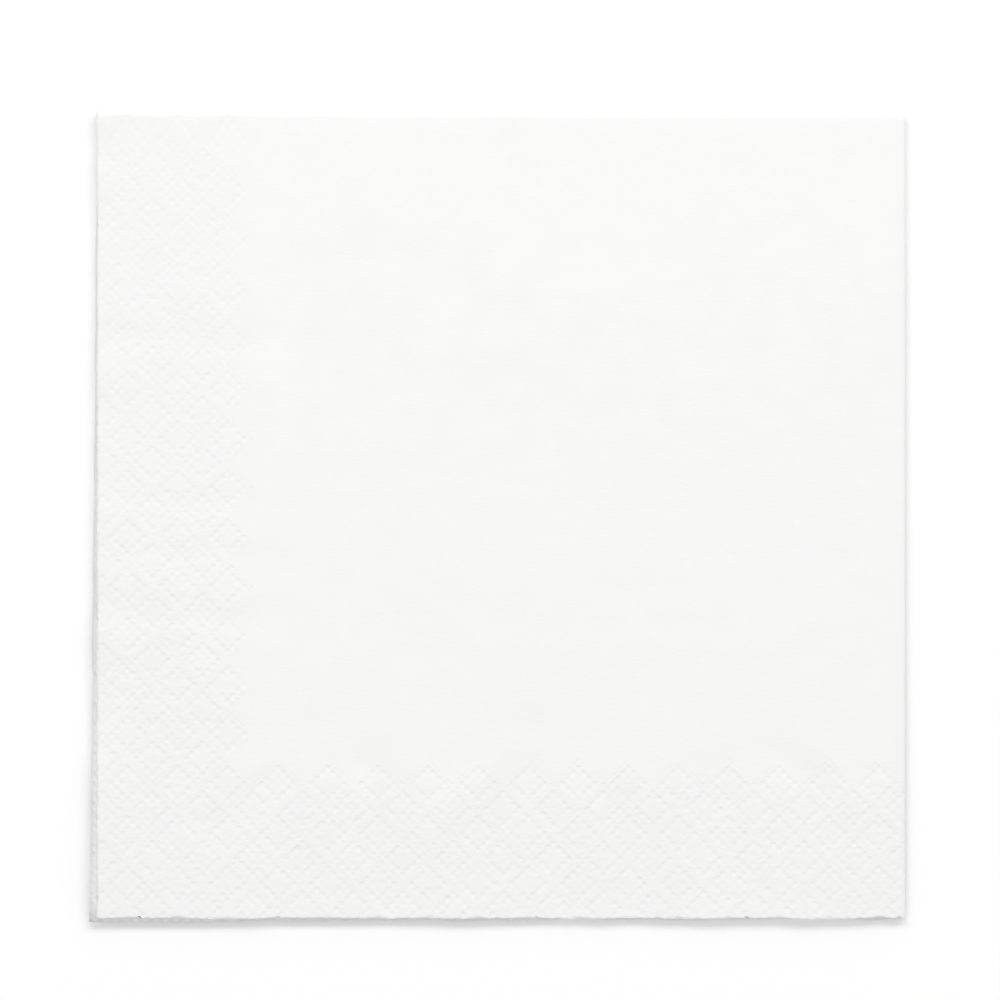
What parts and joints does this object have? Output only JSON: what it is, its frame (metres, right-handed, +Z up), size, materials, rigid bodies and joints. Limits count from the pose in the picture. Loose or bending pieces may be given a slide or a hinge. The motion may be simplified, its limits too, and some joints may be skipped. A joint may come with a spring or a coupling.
{
  "type": "paper napkin",
  "caption": "Square paper napkin of white tissue, folded in four, with an embossed border of diamonds along its cut edges, for wiping hands and mouth or setting under cutlery.",
  "frame": {"origin": "middle of the underside, at the middle of the plan's bounding box", "axes": "+Z up out of the upper face, +X towards the first fold's edge, +Y towards the second fold's edge; the cut edges are at -X and -Y"},
  "size_m": [0.1668, 0.1662, 0.0019],
  "materials": {
    "tissue": "matte"
  },
  "bodies": {
    "root": {"folded_napkin": "tissue"}
  },
  "joints": []
}
